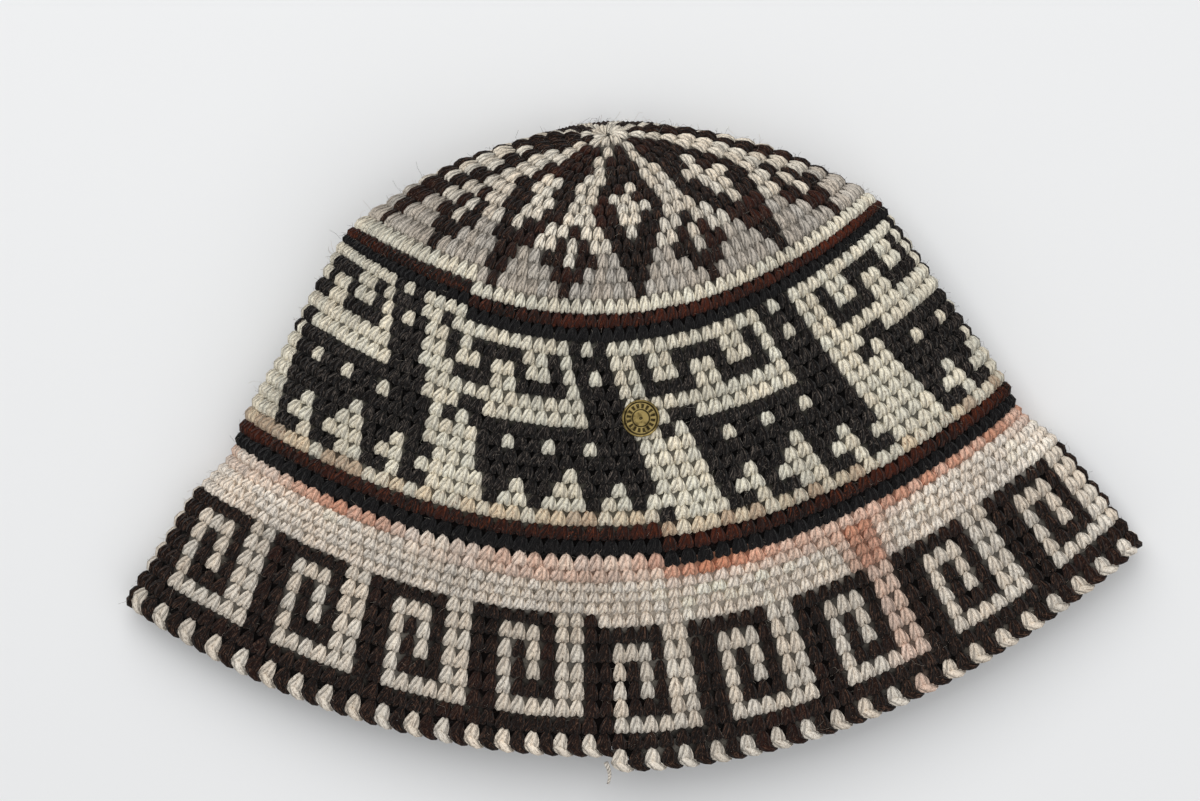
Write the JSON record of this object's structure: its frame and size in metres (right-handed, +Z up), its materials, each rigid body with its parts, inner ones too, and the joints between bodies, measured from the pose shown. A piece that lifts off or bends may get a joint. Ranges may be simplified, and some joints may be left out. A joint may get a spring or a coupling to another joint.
{
  "type": "crochet hat",
  "caption": "Crocheted wool sun hat with a domed crown, two dark bands, a flared brim and a small brass badge, lying on its back with its front arched up.",
  "frame": {"origin": "on the surface that the hat lies on, under the middle of the hat's outline", "axes": "+X across the hat towards one corner of the brim, +Y from the brim's edge to the tip of the crown, +Z up, out of the hat's front"},
  "size_m": [0.3438, 0.2177, 0.057],
  "materials": {
    "crown_wool": "hand-crocheted wool, pale grey-beige with dark brown petals",
    "band_wool": "hand-crocheted wool, one rust-brown and one black round",
    "wall_wool": "hand-crocheted wool, cream with near-black figures",
    "brim_wool": "hand-crocheted wool, grey-beige with salmon streaks and dark brown squares",
    "edging_wool": "hand-crocheted wool edging, dark brown with cream loops",
    "badge_brass": "polished brass with a rolled rim, worn dark in the hollows"
  },
  "bodies": {
    "root": {"crown_top": "crown_wool", "upper_band": "band_wool", "crown_wall": "wall_wool", "lower_band": "band_wool", "brim": "brim_wool", "brim_edging": "edging_wool", "badge": "badge_brass", "badge_plate": "badge_brass"}
  },
  "joints": []
}
